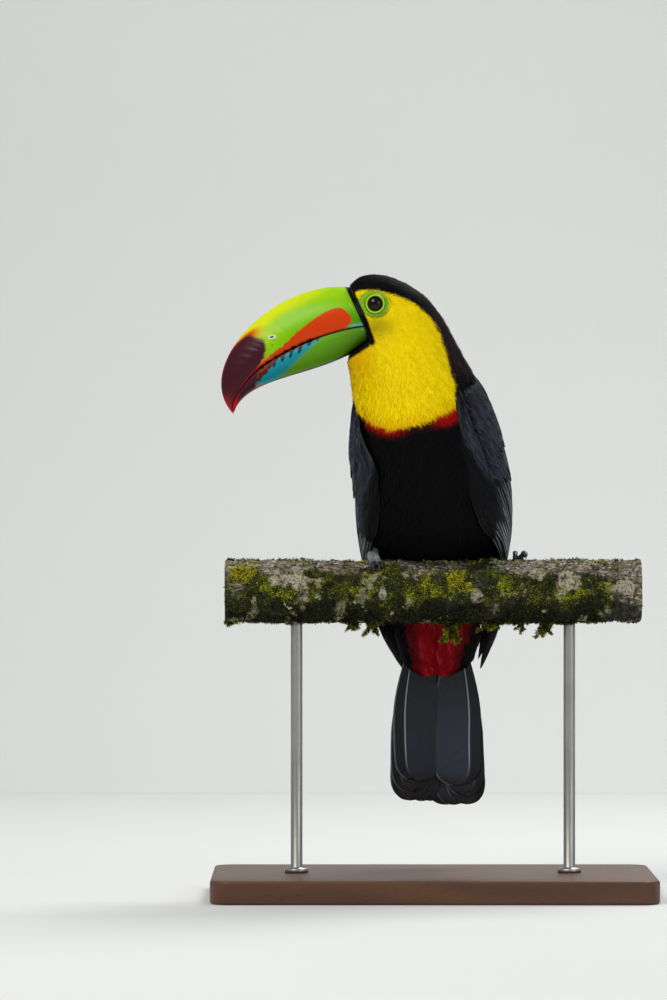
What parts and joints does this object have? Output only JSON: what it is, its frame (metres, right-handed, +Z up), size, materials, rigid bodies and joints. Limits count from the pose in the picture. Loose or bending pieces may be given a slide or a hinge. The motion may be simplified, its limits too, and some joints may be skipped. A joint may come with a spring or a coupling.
{
  "type": "keel-billed toucan on a perch",
  "caption": "Life-size still keel-billed toucan, head turned to the side, gripping a cut mossy branch held on a flat base by slim rods.",
  "frame": {"origin": "middle of the stand's underside, on the floor", "axes": "+Z up, -Y the way the breast faces, -X the way the bill points and +X along the branch"},
  "size_m": [0.34, 0.2, 0.478],
  "materials": {
    "plumage_black": "soft feather sheen",
    "plumage_yellow": "soft feather sheen",
    "wing_quills": "satin feather vanes",
    "tail_quills": "satin feather vanes",
    "bill": "smooth horn, satin to gloss",
    "eye": "wet gloss",
    "face_skin": "fine wrinkled bare skin",
    "foot_skin": "scaly satin",
    "claw": "polished horn",
    "bark": "rough bark with lichen",
    "moss": "matte moss",
    "stand_wood": "oiled walnut",
    "stand_metal": "brushed"
  },
  "bodies": {
    "root": {"head": "plumage_black", "neck": "plumage_yellow", "trunk": "plumage_black", "bill_upper": "bill", "bill_lower": "bill", "eye_left": "eye", "eye_right": "eye", "wing_left_coverts": "wing_quills", "wing_left_primaries": "wing_quills", "wing_left_secondaries": "wing_quills", "tail_left_central": "tail_quills", "tail_left_second": "tail_quills", "tail_left_third": "tail_quills", "tail_left_fourth": "tail_quills", "tail_left_outer": "tail_quills", "wing_right_coverts": "wing_quills", "wing_right_primaries": "wing_quills", "wing_right_secondaries": "wing_quills", "tail_right_central": "tail_quills", "tail_right_second": "tail_quills", "tail_right_third": "tail_quills", "tail_right_fourth": "tail_quills", "tail_right_outer": "tail_quills", "thigh_left": "plumage_black", "toe_left_front_first": "foot_skin", "claw_left_front_first": "claw", "toe_left_front_second": "foot_skin", "claw_left_front_second": "claw", "toe_left_back_first": "foot_skin", "claw_left_back_first": "claw", "toe_left_back_second": "foot_skin", "claw_left_back_second": "claw", "shank_left": "foot_skin", "thigh_right": "plumage_black", "toe_right_front_first": "foot_skin", "claw_right_front_first": "claw", "toe_right_front_second": "foot_skin", "claw_right_front_second": "claw", "toe_right_back_first": "foot_skin", "claw_right_back_first": "claw", "toe_right_back_second": "foot_skin", "claw_right_back_second": "claw", "shank_right": "foot_skin", "perch": "bark", "stand_base": "stand_wood", "stand_rod_left": "stand_metal", "stand_rod_right": "stand_metal"}
  },
  "joints": []
}
